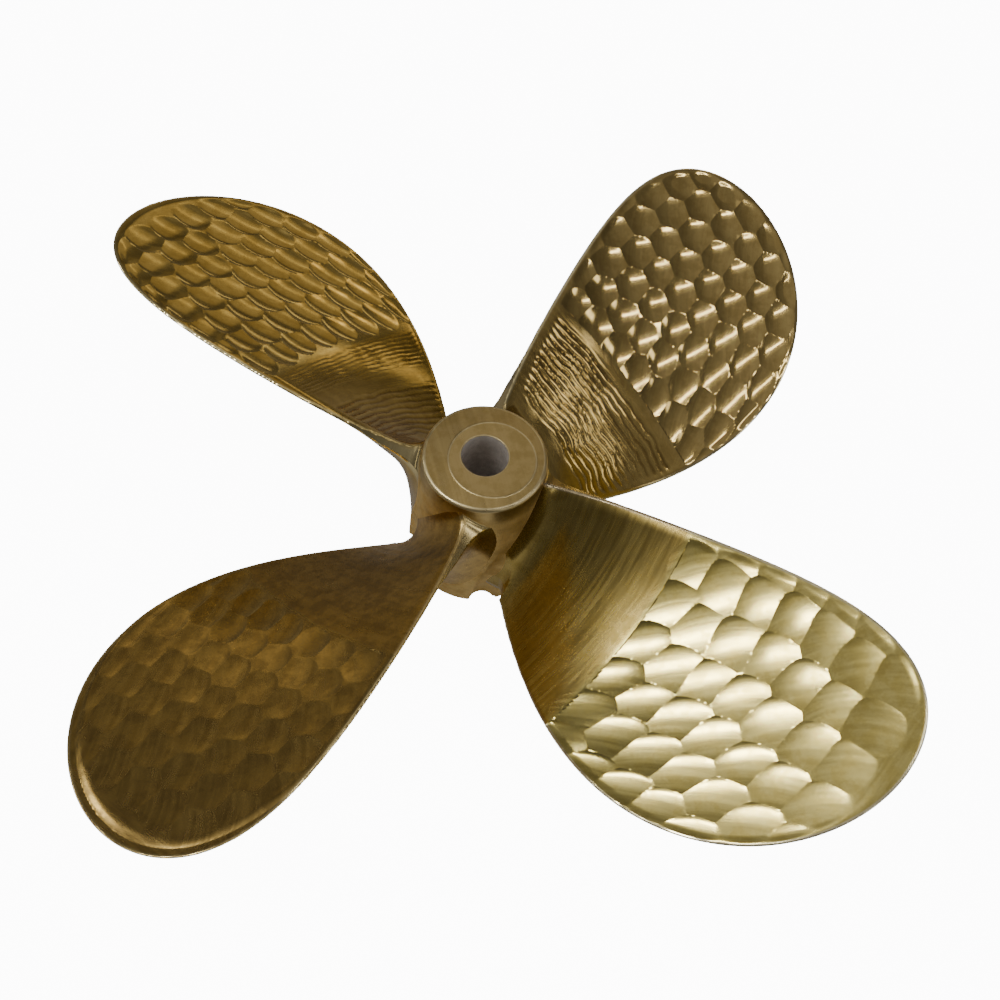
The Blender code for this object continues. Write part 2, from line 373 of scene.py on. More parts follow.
def dish_centres(finish):
    """Where the grinder was set down: rows across the blade, each with its own shift."""
    chance = np.random.default_rng(finish.seed)
    for row, shift in enumerate(finish.shifts):
        for column in DISH_COLUMNS:
            along = column * finish.column_pitch + shift * MM + chance.normal(0.0, HAND_ALONG)
            radius = finish.first_row + row * finish.row_pitch + chance.normal(0.0, HAND_RADIUS)
            radius += ROW_BOW * (along - BOW_MIDDLE) ** 2
            size = finish.dish_radius * chance.uniform(*SIZE_RANGE)
            depth = finish.depth * chance.uniform(*DEPTH_RANGE)
            turn = math.radians(finish.deep_side + chance.normal(0.0, HAND_TURN))
            yield along, radius, size, depth, turn


def bowl(along, radius, dish, finish):
    """Depth of one hollow, deeper towards the root and the trailing edge."""
    centre_along, centre_radius, size, depth, turn = dish
    east, north = (along - centre_along) / (size * finish.stretch), (radius - centre_radius) / size
    forth = east * np.cos(turn) + north * np.sin(turn)
    away = east ** 2 + north ** 2
    wall = 1.0 - np.minimum(away, 1.0) ** finish.wall_power
    return np.where(away < 1.0, depth * (1.0 + finish.lean * forth - finish.cup * away) * wall, 0.0)


def two_deepest(along, radius, dishes, finish):
    """The depth at each point and its two deepest hollows by number, -1 for the blade's own surface."""
    best = np.full(along.shape, RIDGE_LEVEL * finish.depth)
    second = np.full(along.shape, -1.0)
    first_index, second_index = np.full(along.shape, -1), np.full(along.shape, -1)
    for index, dish in enumerate(dishes):
        depth = bowl(along, radius, dish, finish)
        wins = depth > best
        follows = ~wins & (depth > second)
        second_index = np.where(wins, first_index, np.where(follows, index, second_index))
        second = np.where(wins, best, np.where(follows, depth, second))
        first_index = np.where(wins, index, first_index)
        best = np.where(wins, depth, best)
    return best, first_index, second_index


def picked(dishes, index):
    """The values of each point's hollow by its number, and of an empty one for -1."""
    table = np.array(dishes + [(0.0, 0.0, 1.0, 0.0, 0.0)])
    return np.moveaxis(table[index], -1, 0)


def depth_of(along, radius, index, dishes, finish):
    """Depth at each point of the hollow with the given number."""
    depth = bowl(along, radius, picked(dishes, index), finish)
    return np.where(index < 0, RIDGE_LEVEL * finish.depth, depth)


def snapped(along, radius, dishes, movable, finish):
    """Moves the points beside a ridge onto it, for a crisp line, and tells which points lie on one."""
    _, first, second = two_deepest(along, radius, dishes, finish)

    def lead(x, r):
        return depth_of(x, r, first, dishes, finish) - depth_of(x, r, second, dishes, finish)

    moved_along, moved_radius = along.copy(), radius.copy()
    for _ in range(SNAP_ROUNDS):
        ahead = lead(moved_along, moved_radius)
        slope_along = (lead(moved_along + SLOPE_STEP, moved_radius) - ahead) / SLOPE_STEP
        slope_radius = (lead(moved_along, moved_radius + SLOPE_STEP) - ahead) / SLOPE_STEP
        steepness = np.maximum(slope_along ** 2 + slope_radius ** 2, LEAST_DIVISOR)
        moved_along = moved_along - ahead * slope_along / steepness
        moved_radius = moved_radius - ahead * slope_radius / steepness
    column_gap = np.abs(np.gradient(along, axis=1))
    row_gap = np.abs(np.gradient(radius, axis=0))
    spacings = np.abs(moved_along - along) / column_gap + np.abs(moved_radius - radius) / row_gap
    on_ridge = movable & (spacings < SNAP_REACH) & (first != second)
    on_ridge &= np.abs(lead(moved_along, moved_radius)) < HAIR
    _, there, _ = two_deepest(moved_along, moved_radius, dishes, finish)
    on_ridge &= (there == first) | (there == second)
    above_start = bowed(along, radius) - finish.start
    at_start = np.abs(above_start) < 0.5 * row_gap
    radius = np.where(at_start, radius - above_start, radius)
    along, radius = np.where(on_ridge, moved_along, along), np.where(on_ridge, moved_radius, radius)
    return along, radius, on_ridge | at_start


def hollows(along, radius, dishes, finish):
    """Depth of the overlapping hollows, and the direction across their fine grinding marks."""
    deepest, winner, _ = two_deepest(along, radius, dishes, finish)
    centre_along, centre_radius, _, _, turn = picked(dishes, winner)
    pivot_along = centre_along - GRINDER_REACH * np.cos(turn)
    pivot_radius = centre_radius - GRINDER_REACH * np.sin(turn)
    sweep = np.hypot(along - pivot_along, radius - pivot_radius)
    swing = np.arctan2(radius - pivot_radius, along - pivot_along) * GRINDER_REACH
    own = centre_along * 7.0 + centre_radius * 3.0  # sets the marks of one hollow apart from the next
    marks = together(sweep, swing, own)
    plain = together(bowed(along, radius), along, 0.0)
    grain = np.where((winner >= 0)[..., None], marks, plain)
    tipward = ramp(reach_of(radius), *TIP_HOLLOWS)
    kept = (bowed(along, radius) > finish.start + HAIR) * mix(1.0, finish.tip_share, tipward)
    return (deepest - RIDGE_LEVEL * finish.depth) * kept, grain


def waves(along, radius, seed, wavelength):
    """Smooth unevenness between -1 and 1."""
    chance = np.random.default_rng(seed)
    total = np.zeros_like(along)
    for _ in range(WAVE_COUNT):
        direction = chance.uniform(0.0, FULL_TURN)
        length = wavelength * chance.uniform(*WAVE_RANGE)
        phase = (along * math.cos(direction) + radius * math.sin(direction)) / length
        total += np.sin(FULL_TURN * phase + chance.uniform(0.0, FULL_TURN))
    return total / WAVE_COUNT


def grinding_ripples(along, radius, finish):
    """Depth of the wavy furrows that the grinder left across the blade near its root."""
    level = bowed(along, radius)
    total = np.zeros_like(along)
    for low, high, spacing, depth in finish.ripples:
        wander = WANDER * waves(along, level * 0.5, finish.seed + 1, WANDER_LENGTH)
        wander += SHAKE * waves(along, level, finish.seed + 2, SHAKE_LENGTH)
        crest = np.abs(np.sin(math.pi * (level / spacing + wander)))
        strength = MEAN_STRENGTH + STRENGTH_CHANGE * waves(along, level, finish.seed + 3, STRENGTH_LENGTH)
        total += (depth * np.clip(strength, *STRENGTHS) * (1.0 - crest ** CREST_POWER)
                  * ramp(level, low, low + FURROW_START) * (1.0 - ramp(level, high - FURROW_END, high)))
    return total


def bevel_shape(radius, across, finish):
    """Width and added slope of the smooth band ground round the blade."""
    reach = reach_of(radius)
    trailing = mix(*TRAILING_BAND, ramp(reach, *TRAILING_CHANGE))
    leading = mix(*LEADING_BAND, ramp(reach, *LEADING_CHANGE))
    side = mix(leading, trailing, ramp(across, *SIDE_CHANGE))
    tipward = ramp(reach, *TIP_CHANGE)
    tip_slope = math.tan(math.radians(finish.tip_slope))
    return mix(side, finish.tip_bevel, tipward), mix(SIDE_SLOPE, tip_slope, tipward)


def outline_tree():
    """Search tree of points along the blade's outline, laid flat."""
    turns = np.linspace(0.0, 1.0, OUTLINE_POINTS)
    radius = (ROOT_RADIUS - SEATED_DEPTH
              + (TIP_RADIUS - OUTLINE_INSET - ROOT_RADIUS + SEATED_DEPTH) * np.sin(QUARTER_TURN * turns))
    height = np.clip((radius - ROOT_RADIUS) / FILLET_HEIGHT, 0.0, 1.0)
    half = half_width(radius, fillet_spread(height))
    middle = midchord(reach_of(radius))
    points = [(x, r, 0.0) for side in (-1.0, 1.0) for x, r in zip(middle + side * half, radius)]
    tree = KDTree(len(points))
    for index, point in enumerate(points):
        tree.insert(point, index)
    tree.balance()
    return tree


def distances(along, radius, tree):
    """Distance from each point to the blade's outline."""
    flat = [tree.find((x, r, 0.0))[2] for x, r in zip(along.ravel(), radius.ravel())]
    return np.array(flat).reshape(along.shape)


def side_columns(half, corner, count):
    """Where the columns of one side of a blade lie from its middle, closer together at the corners."""
    inset = [corner * (1.0 - math.sin(math.radians(turn))) for turn in CORNER_TURNS]
    even = np.linspace(-1.0, 1.0, count)
    edge_first = [-(half - one) for one in inset]
    edge_last = [half - one for one in reversed(inset)]
    return np.concatenate(edge_first + [even * (half - corner)] + edge_last, axis=1)


class BladeGrid:
    """The columns and rows that all blades share, with the distance of each point from the outline."""

    def __init__(self):
        self.radius, self.spread = blade_rows()
        self.half = half_width(self.radius, self.spread)
        reach = reach_of(self.radius)
        most = CORNER_SHARE * self.half + LEAST_CORNER
        self.corner = np.minimum(mix(ROOT_CORNER, TIP_CORNER, reach), most)
        self.middle = midchord(reach)
        tree = outline_tree()
        self.face = self.side(FACE_COLUMNS, tree)
        self.back = self.side(BACK_COLUMNS, tree)

    def side(self, count, tree):
        offset = side_columns(self.half, self.corner, count)
        along = self.middle + offset
        radius = np.broadcast_to(self.radius, along.shape)
        across = offset / np.maximum(self.half, LEAST_DIVISOR)
        return along, radius, across, distances(along, radius, tree)


def corner_drop(distance, corner):
    """How far a rounded corner falls away at a distance from the edge."""
    inside = np.clip(corner - distance, 0.0, corner)
    return corner - np.sqrt(np.maximum(0.0, corner ** 2 - inside ** 2))


def face_relief(grid, finish):
    """Everything ground into the driving face: where its points lie, their depth, the masks that its
    material uses and which points lie on a ridge."""
    along, radius, across, distance = grid.face
    width, gained = bevel_shape(radius, across, finish)
    inside = ramp(distance, width - FURROW_OUTER, width + FURROW_INNER)
    centres = list(dish_centres(finish))
    movable = (distance > width + STILL_BAND) & (bowed(along, radius) > finish.start + STILL_START)
    along, radius, on_ridge = snapped(along, np.array(radius), centres, movable, finish)
    dishes, grain = hollows(along, radius, centres, finish)
    dishes = dishes * ramp(distance, -DISH_FADE, width + DISH_FADE)
    furrows = grinding_ripples(along, radius, finish) * inside * ramp(distance, *FURROW_RIM)
    share = np.maximum(0.0, 1.0 - distance / width)
    bevel = (BEVEL_START * share + gained * share ** 2) * width
    uneven = UNEVEN_FACE * (1.0 + waves(along, radius, finish.seed + 5, FACE_WAVES))
    depth = softly_deeper(dishes, bevel, BEVEL_BLEND) + furrows + uneven * ramp(distance, 0.0, UNEVEN_RIM)
    limit = DEEPEST * back_offset(reach_of(radius), across)
    masks = {
        "grain": grain,
        "rim": 1.0 - ramp(distance, *WORN_FACE_RIM),
        "root": 1.0 - ramp(bowed(along, radius) - finish.start, *ROOT_BLEND),
        "furrowed": ramp(furrows, *DARK_FURROW),
    }
    return along, radius, np.minimum(depth, limit), masks, on_ridge


def closed_mesh(name, rings, on_ridge):
    """A mesh through rings of points, each ring a closed loop, with capped ends. A quad with a ridge from
    corner to corner is cut along it."""
    count, around = rings.shape[:2]
    index = np.arange(count * around).reshape(count, around)
    following = np.roll(index, -1, axis=1)
    quads = together(index[:-1], following[:-1], following[1:], index[1:]).reshape(-1, 4)
    marked = on_ridge.ravel()[quads]
    rising = marked[:, 0] & marked[:, 2] & ~marked[:, 1] & ~marked[:, 3]
    falling = marked[:, 1] & marked[:, 3] & ~marked[:, 0] & ~marked[:, 2]
    faces = quads[~rising & ~falling].tolist()
    faces += quads[rising][:, [0, 1, 2]].tolist() + quads[rising][:, [0, 2, 3]].tolist()
    faces += quads[falling][:, [0, 1, 3]].tolist() + quads[falling][:, [1, 2, 3]].tolist()
    faces.append(index[0, ::-1].tolist())
    faces.append(index[-1].tolist())
    mesh = bpy.data.meshes.new(name)
    mesh.from_pydata(rings.reshape(-1, 3).tolist(), [], faces)
    return mesh


def add_masks(mesh, masks):
    """Stores values of the surface on the mesh for its material to read."""
    for name, values in masks.items():
        kind, field = ("FLOAT", "value") if values.ndim == 2 else ("FLOAT_VECTOR", "vector")
        layer = mesh.attributes.new(name, kind, "POINT")
        layer.data.foreach_set(field, values.astype(np.float32).ravel())


def flare(spread, across):
    """How far the root's fillet stands out on one side of a blade, less towards its edges."""
    return spread * (1.0 - FLARE_LOSS * across ** FLARE_POWER)


def all_round(face, rest, around):
    """Values for the whole of a blade's rings: the face's own first, and the same rest for the others."""
    shape = (len(face), around - face.shape[1], *face.shape[2:])
    return np.concatenate([face, np.broadcast_to(rest, shape)], axis=1)


def build_blade(grid, finish, index, material):
    """One blade as a closed piece whose root sinks into the hub."""
    spread = grid.spread
    face_across, face_distance = grid.face[2:]
    back_along, back_radius, back_across, back_distance = grid.back
    face_along, face_radius, depth, masks, face_ridge = face_relief(grid, finish)
    face_behind = (-FACE_FILLET * flare(spread, face_across) + depth
                   + corner_drop(face_distance, grid.corner))
    back_behind = (back_offset(reach_of(back_radius), back_across) + BACK_FILLET * flare(spread, back_across)
                   - corner_drop(back_distance, grid.corner))
    back_behind -= UNEVEN_BACK * (1.0 + waves(back_along, back_radius, finish.seed + 9, BACK_WAVES))
    back_behind += BLUNT_ROOT * ramp(back_across, *BLUNT_SIDE) * (1.0 - ramp(back_radius, *BLUNT_END))
    face_behind = clear_grooves(face_radius, face_along, face_behind, 1.0)
    back_behind = clear_grooves(back_radius, back_along, back_behind, -1.0)
    share = np.linspace(0.0, 1.0, STRIP_COLUMNS + 2)[1:-1]
    leading = mix(back_behind[:, :1], face_behind[:, :1], share)
    trailing = mix(face_behind[:, -1:], back_behind[:, -1:], share)
    behind = np.concatenate([face_behind, trailing, back_behind[:, ::-1], leading], axis=1)
    last, first = (np.repeat(face_along[:, [column]], STRIP_COLUMNS, axis=1) for column in (-1, 0))
    along = np.concatenate([face_along, last, back_along[:, ::-1], first], axis=1)
    around = along.shape[1]
    face_count = face_along.shape[1]
    rings = blade_places(all_round(face_radius, grid.radius, around), along, behind)
    name = "blade_" + finish.name
    mesh = closed_mesh(name, rings, all_round(face_ridge, False, around))
    masks = {mask: all_round(values, 0.0, around) for mask, values in masks.items()}
    masks["grain"][:, face_count:] = together(grid.radius, along[:, face_count:], 1.0)
    masks["rim"][:, face_count:] = 1.0
    masks["rim"][:, face_count + STRIP_COLUMNS:around - STRIP_COLUMNS] = (
        1.0 - ramp(back_distance[:, ::-1], *WORN_BACK_RIM))
    add_masks(mesh, masks)
    mesh.transform(Matrix.Rotation(FIRST_BLADE + FULL_TURN * index / BLADE_COUNT, 4, "Z"))
    mesh.materials.append(material)
    blade = add_object(name, mesh)
    finish_mesh(blade, BLADE_CREASE)
    return blade


def add_object(name, data):
    made = bpy.data.objects.new(name, data)
    bpy.context.scene.collection.objects.link(made)
    return made


def finish_mesh(piece, crease):
    """Merges the points that meet, turns the faces outwards and shades the piece smooth."""
    shape = bmesh.new()
    shape.from_mesh(piece.data)
    bmesh.ops.remove_doubles(shape, verts=shape.verts, dist=MERGE_DISTANCE)
    bmesh.ops.recalc_face_normals(shape, faces=shape.faces)
    shape.to_mesh(piece.data)
    shape.free()
    piece.data.shade_smooth()
    piece.data.set_sharp_from_angle(angle=math.radians(crease))


# The hub

HUB_TURNS = 380
AFT_FACE_ROWS = 100
HUB_SIDE_ROWS = 90
FLAT_CENTRE = (0.0062, -0.0030)  # middle of the flat part of the aft face, off the shaft axis
FLAT_RADIUS = 0.0360
GROUND_SLOPE = math.tan(math.radians(6.0))
BURR_HEIGHT = 0.00022  # of the raised line round the flat part
BURR_WIDTH = 0.0006
HUB_CORNER = 0.0032
CORNER_STEPS = 8
BORE_RIM = 0.0006  # width of the rounded rim at the aft end of the bore
RIM_POINTS = ((0.0, 1.0), (0.3, 0.3))  # its points, as shares of that width outwards and down
WORN_RIM_POINTS = 4
FORWARD_RIM = 0.0012
BORE_ROWS = 12
CORNER_POINT = AFT_FACE_ROWS + len(RIM_POINTS)  # number of the section's point where the aft corner begins
FACE_ZONE = (0.030, 0.002)  # depths under the aft face between which its finish begins
HUB_UNEVEN = 0.00006
HUB_WAVES = 0.022
HUB_SEED = 71
SIDE_STRETCH = 0.3  # how drawn out the scratches are on the hub's side and on its aft face
FACE_STRETCH = 0.4
FACE_SLANT = 0.3
FACE_APART = 3.0  # sets the face's scratches apart from the side's


def hub_profile():
    """Radius and height of the hub's section, from the bore's aft rim, down the outside and up the bore, and
    the number of its points that lie outside the bore."""
    points = [(AFT_BORE_RADIUS + out * BORE_RIM, HUB_LENGTH - down * BORE_RIM) for out, down in RIM_POINTS]
    shoulder = HUB_LENGTH - HUB_CORNER
    centre = barrel_radius(shoulder) - HUB_CORNER
    for step in range(AFT_FACE_ROWS):
        points.append((mix(AFT_BORE_RADIUS + BORE_RIM, centre, step / AFT_FACE_ROWS), HUB_LENGTH))
    for step in range(CORNER_STEPS + 1):
        turn = QUARTER_TURN * step / CORNER_STEPS
        points.append((centre + HUB_CORNER * math.sin(turn), shoulder + HUB_CORNER * math.cos(turn)))
    for step in range(1, HUB_SIDE_ROWS + 1):
        height = mix(shoulder, FORWARD_CHAMFER, step / HUB_SIDE_ROWS)
        points.append((barrel_radius(height), height))
    forward_bore = AFT_BORE_RADIUS + HUB_LENGTH * BORE_TAPER / 2.0
    points.append((barrel_radius(FORWARD_CHAMFER) - FORWARD_CHAMFER, 0.0))
    points.append((forward_bore + FORWARD_RIM, 0.0))
    outside = len(points)
    points.append((forward_bore, FORWARD_RIM))
    for step in range(1, BORE_ROWS):
        height = mix(FORWARD_RIM, HUB_LENGTH - BORE_RIM, step / BORE_ROWS)
        points.append((AFT_BORE_RADIUS + (HUB_LENGTH - height) * BORE_TAPER / 2.0, height))
    return np.array(points), outside


def groove_floor(turns, height, radius):
    """The radius of the hub's side where the grooves have cut into it."""
    floor = radius.copy()
    for index in range(BLADE_COUNT):
        for x, y, z, size in turned_balls(FIRST_BLADE + FULL_TURN * index / BLADE_COUNT):
            ahead = x * np.cos(turns) + y * np.sin(turns)
            square = size ** 2 - (x ** 2 + y ** 2 - ahead ** 2) - (height - z) ** 2
            hit = (square > 0.0) & (ahead > 0.0)
            floor = np.where(hit, np.minimum(floor, ahead - np.sqrt(np.maximum(0.0, square))), floor)
    return np.where(floor < radius, floor - GROOVE_CLEARANCE, radius)


def build_hub(material, bore_material):
    """The hub as a ring of like sections, with the grooves cut into its side and its aft face ground."""
    profile, outside = hub_profile()
    turns = (np.arange(HUB_TURNS) * FULL_TURN / HUB_TURNS)[:, None]
    radius = np.broadcast_to(profile[:, 0], (HUB_TURNS, len(profile))).copy()
    z = np.broadcast_to(profile[:, 1], radius.shape).copy()
    side = slice(CORNER_POINT + 2, outside - 1)
    radius[:, side] = groove_floor(turns, z[:, side], radius[:, side])
    x = radius * np.cos(turns)
    y = radius * np.sin(turns)
    from_flat = np.hypot(x - FLAT_CENTRE[0], y - FLAT_CENTRE[1]) - FLAT_RADIUS
    on_face = ramp(z, *(HUB_LENGTH - depth for depth in FACE_ZONE))
    burr = np.exp(-(from_flat / BURR_WIDTH) ** 2)
    uneven = HUB_UNEVEN * waves(x, y, HUB_SEED, HUB_WAVES)
    z += (BURR_HEIGHT * burr - GROUND_SLOPE * np.maximum(0.0, from_flat) + uneven) * on_face
    rings = together(x, y, z)
    count, around = rings.shape[:2]
    index = np.arange(count * around).reshape(count, around)
    ahead = np.roll(index, -1, axis=0)
    beside = np.roll(index, -1, axis=1)
    both = np.roll(ahead, -1, axis=1)
    quads = together(index, beside, both, ahead).reshape(-1, 4)
    mesh = bpy.data.meshes.new("hub")
    mesh.from_pydata(rings.reshape(-1, 3).tolist(), [], quads.tolist())
    rim = burr * on_face
    rim[:, :WORN_RIM_POINTS] = 1.0
    rim[:, CORNER_POINT:CORNER_POINT + CORNER_STEPS - 1] = 1.0
    side_grain = together(z * SIDE_STRETCH, turns * FORWARD_RADIUS, 0.0)
    face_grain = together(x + FACE_SLANT * y, y * FACE_STRETCH, FACE_APART)
    grain = np.where((np.arange(around) < CORNER_POINT + CORNER_STEPS // 2)[:, None], face_grain, side_grain)
    # The root mask marks the hub's side, which the hub's tint paints lighter: painted light.
    add_masks(mesh, {"rim": rim, "root": 1.0 - on_face, "furrowed": np.zeros_like(rim), "grain": grain})
    mesh.materials.append(material)
    mesh.materials.append(bore_material)
    in_bore = np.broadcast_to(np.arange(around) >= outside - 1, (count, around)).astype(np.int32).ravel()
    mesh.polygons.foreach_set("material_index", in_bore)
    hub = add_object("hub", mesh)
    finish_mesh(hub, HUB_CREASE)
    return hub


# Materials

PATCH_LEVELS = (0.40, 0.62)  # values of the noise between which patches, clouds and scratches begin
CLOUD_LEVELS = (0.35, 0.65)
STREAK_LEVELS = (0.30, 0.70)
SPECK_FINENESS = 9.0  # of the specks and the clouds, as shares of the patches' fineness
CLOUD_FINENESS = 0.22
BROAD_FINENESS = 0.31  # of the broad streaks, as a share of the fine scratches' fineness
PATCH_NOISE = (6.0, 0.62)  # detail and roughness of each noise
FINE_NOISE = (4.0, 0.65)
BROAD_NOISE = (3.0, 0.6)
SPECK_DETAIL = 3.0  # and that of the specks and the clouds
APART = 37.0  # how far the scratches of one hollow are set apart from the next
SPECK_SHARE = 0.35  # what each adds to the tarnish, and the level below which it is clean
CLOUD_SHARE = 0.25
CLEAN_LEVEL = 0.25
WORN_LEVEL = 0.62  # how bright a worn rim is where it has no specks
STREAK_SHARE = 0.35  # how far scratches and tarnish change the roughness, from its share on clean metal
DULL_SHARE = 0.22
CLEAN_SHARE = 0.88
FURROW_DARKENS = 0.65
FURROW_TINT = (0.45, 0.38, 0.28, 1.0)
SCRATCH_DARKENS = 0.22
SCRATCH_TINT = (0.55, 0.48, 0.38, 1.0)
COLUMN_WIDTH = 220.0  # of the columns and rows in which the nodes lie
ROW_HEIGHT = 320.0


def new_material(name):
    """An empty material, its node tree and its shader."""
    made = bpy.data.materials.new(name)
    made.use_nodes = True
    return made, made.node_tree, made.node_tree.nodes["Principled BSDF"]


def supply(tree, node, inputs):
    """Sets a node's inputs to numbers, vectors or colours, or joins other nodes' outputs to them."""
    for name, source in inputs.items():
        if isinstance(source, bpy.types.NodeSocket):
            tree.links.new(source, node.inputs[name])
        else:
            node.inputs[name].default_value = source


def add_node(tree, kind, inputs, **settings):
    node = tree.nodes.new(kind)
    for name, value in settings.items():
        setattr(node, name, value)
    supply(tree, node, inputs)
    return node


def calculate(tree, operation, first, second, clamp=False):
    node = add_node(tree, "ShaderNodeMath", {0: first, 1: second}, operation=operation, use_clamp=clamp)
    return node.outputs["Value"]


def blend_colours(tree, share, first, second, blend="MIX"):
    """Mixes two colours. A mix node takes them in at its sockets 6 and 7 and gives the result at 2."""
    inputs = {0: share, 6: first, 7: second}
    return add_node(tree, "ShaderNodeMix", inputs, data_type="RGBA", blend_type=blend).outputs[2]


def add_noise(tree, vector, scale, detail, roughness=0.5):
    inputs = {"Vector": vector, "Scale": scale, "Detail": detail, "Roughness": roughness}
    return add_node(tree, "ShaderNodeTexNoise", inputs).outputs["Fac"]


def stretch_range(tree, value, low, high):
    """Spreads the values between low and high over 0 to 1, smoothly."""
    inputs = {"Value": value, "From Min": low, "From Max": high}
    return add_node(tree, "ShaderNodeMapRange", inputs, interpolation_type="SMOOTHSTEP").outputs["Result"]


def lay_out(tree):
    """Puts the nodes in columns, each to the left of what it feeds."""
    column = dict.fromkeys(tree.nodes.keys(), 0)
    for _ in column:
        for link in tree.links:
            column[link.from_node.name] = max(column[link.from_node.name], column[link.to_node.name] + 1)
    rows = dict.fromkeys(column.values(), 0)
    for name, step in column.items():
        tree.nodes[name].location = (-COLUMN_WIDTH * step, -ROW_HEIGHT * rows[step])
        rows[step] += 1


def new_group(name, inputs, outputs):
    """An empty node group with its named sockets, what it is given and the node for its results."""
    group = bpy.data.node_groups.new(name, "ShaderNodeTree")
    for socket, kind, value in inputs:
        made = group.interface.new_socket(name=socket, in_out="INPUT", socket_type="NodeSocket" + kind)
        made.default_value = value
    for socket, kind in outputs:
        group.interface.new_socket(name=socket, in_out="OUTPUT", socket_type="NodeSocket" + kind)
    given = add_node(group, "NodeGroupInput", {}).outputs
    return group, given, add_node(group, "NodeGroupOutput", {})


def make_mottling():
    """Tarnish in patches and specks, with brighter and smoother metal where it is worn."""
    inputs = (("Vector", "Vector", (0.0, 0.0, 0.0)), ("Tone", "Color", (0.6, 0.45, 0.2, 1.0)),
              ("Deep Tone", "Color", (0.4, 0.3, 0.1, 1.0)), ("Worn Tone", "Color", (0.8, 0.7, 0.4, 1.0)),
              ("Scale", "Float", 70.0), ("Amount", "Float", 0.6), ("Wear", "Float", 0.0),
              ("Streak", "Float", 0.5), ("Roughness", "Float", 0.2))
    group, given, result = new_group("mottled_bronze", inputs, (("Colour", "Color"), ("Roughness", "Float")))
    patch_noise = add_noise(group, given["Vector"], given["Scale"], *PATCH_NOISE)
    patches = stretch_range(group, patch_noise, *PATCH_LEVELS)
    speck_scale = calculate(group, "MULTIPLY", given["Scale"], SPECK_FINENESS)
    specks = add_noise(group, given["Vector"], speck_scale, SPECK_DETAIL)
    cloud_scale = calculate(group, "MULTIPLY", given["Scale"], CLOUD_FINENESS)
    clouds = add_noise(group, given["Vector"], cloud_scale, SPECK_DETAIL)
    cloudy = stretch_range(group, clouds, *CLOUD_LEVELS)
    spread = calculate(group, "MULTIPLY", patches, given["Amount"])
    speckled = calculate(group, "MULTIPLY", specks, SPECK_SHARE)
    clouded = calculate(group, "MULTIPLY", cloudy, CLOUD_SHARE)
    dull = calculate(group, "ADD", spread, clouded)
    dull = calculate(group, "ADD", dull, speckled)
    dull = calculate(group, "SUBTRACT", dull, CLEAN_LEVEL, clamp=True)
    colour = blend_colours(group, dull, given["Tone"], given["Deep Tone"])
    bright = calculate(group, "ADD", specks, WORN_LEVEL)
    worn = calculate(group, "MULTIPLY", given["Wear"], bright, clamp=True)
    colour = blend_colours(group, worn, colour, given["Worn Tone"])
    streaks = calculate(group, "SUBTRACT", given["Streak"], 0.5)
    streaks = calculate(group, "MULTIPLY", streaks, STREAK_SHARE)
    shade = calculate(group, "MULTIPLY", dull, DULL_SHARE)
    shade = calculate(group, "ADD", shade, CLEAN_SHARE)
    shade = calculate(group, "SUBTRACT", shade, streaks)
    rough = calculate(group, "MULTIPLY", shade, given["Roughness"])
    supply(group, result, {"Colour": colour, "Roughness": rough})
    lay_out(group)
    return group


def make_marks():
    """Fine scratches that run along the second direction of the vector they are given."""
    inputs = (("Vector", "Vector", (0.0, 0.0, 0.0)), ("Fineness", "Float", 900.0), ("Length", "Float", 60.0))
    group, given, result = new_group("grinding_marks", inputs, (("Height", "Float"), ("Streak", "Float")))
    across = add_node(group, "ShaderNodeCombineXYZ", {0: given["Fineness"], 1: given["Length"], 2: APART})
    scaled = add_node(group, "ShaderNodeVectorMath", {0: given["Vector"], 1: across.outputs[0]},
                      operation="MULTIPLY").outputs[0]
    fine = add_noise(group, scaled, 1.0, *FINE_NOISE)
    broad = add_noise(group, scaled, BROAD_FINENESS, *BROAD_NOISE)
    supply(group, result, {"Height": fine, "Streak": stretch_range(group, broad, *STREAK_LEVELS)})
    lay_out(group)
    return group


